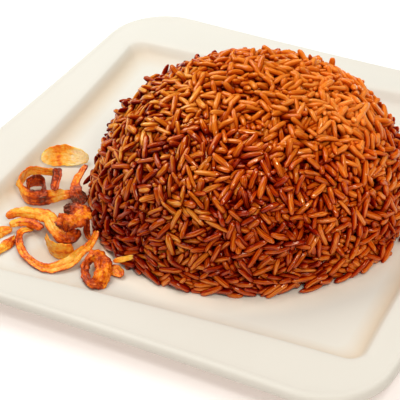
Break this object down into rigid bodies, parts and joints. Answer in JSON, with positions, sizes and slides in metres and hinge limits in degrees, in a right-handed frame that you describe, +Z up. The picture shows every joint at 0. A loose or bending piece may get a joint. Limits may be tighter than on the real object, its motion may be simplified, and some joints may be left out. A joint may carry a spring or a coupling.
{
  "type": "plate of sayadieh",
  "caption": "Square white china plate with a moulded dome of spiced brown rice and curls and strips of fried onion beside it.",
  "frame": {"origin": "on the table, below the middle of the plate", "axes": "+Z up; X and Y along the sides of the plate's outline"},
  "size_m": [0.2172, 0.2172, 0.065],
  "materials": {
    "white_china": "glossy glaze",
    "brown_rice": "moist, slightly oily",
    "fried_onion": "crisp, oily"
  },
  "bodies": {
    "root": {"plate": "white_china", "rice_mound": "brown_rice", "onion_petal_back": "fried_onion", "onion_ring_upper": "fried_onion", "onion_curl_inner": "fried_onion", "onion_strip_bridge": "fried_onion", "onion_strand_twist": "fried_onion", "onion_strip_mid": "fried_onion", "onion_strip_low": "fried_onion", "onion_clump": "fried_onion", "onion_cup": "fried_onion", "onion_strand_dark": "fried_onion", "onion_loop_big": "fried_onion", "onion_end_left_a": "fried_onion", "onion_end_left_b": "fried_onion", "onion_knot": "fried_onion", "onion_petal_knot": "fried_onion", "onion_straw": "fried_onion"}
  },
  "joints": []
}
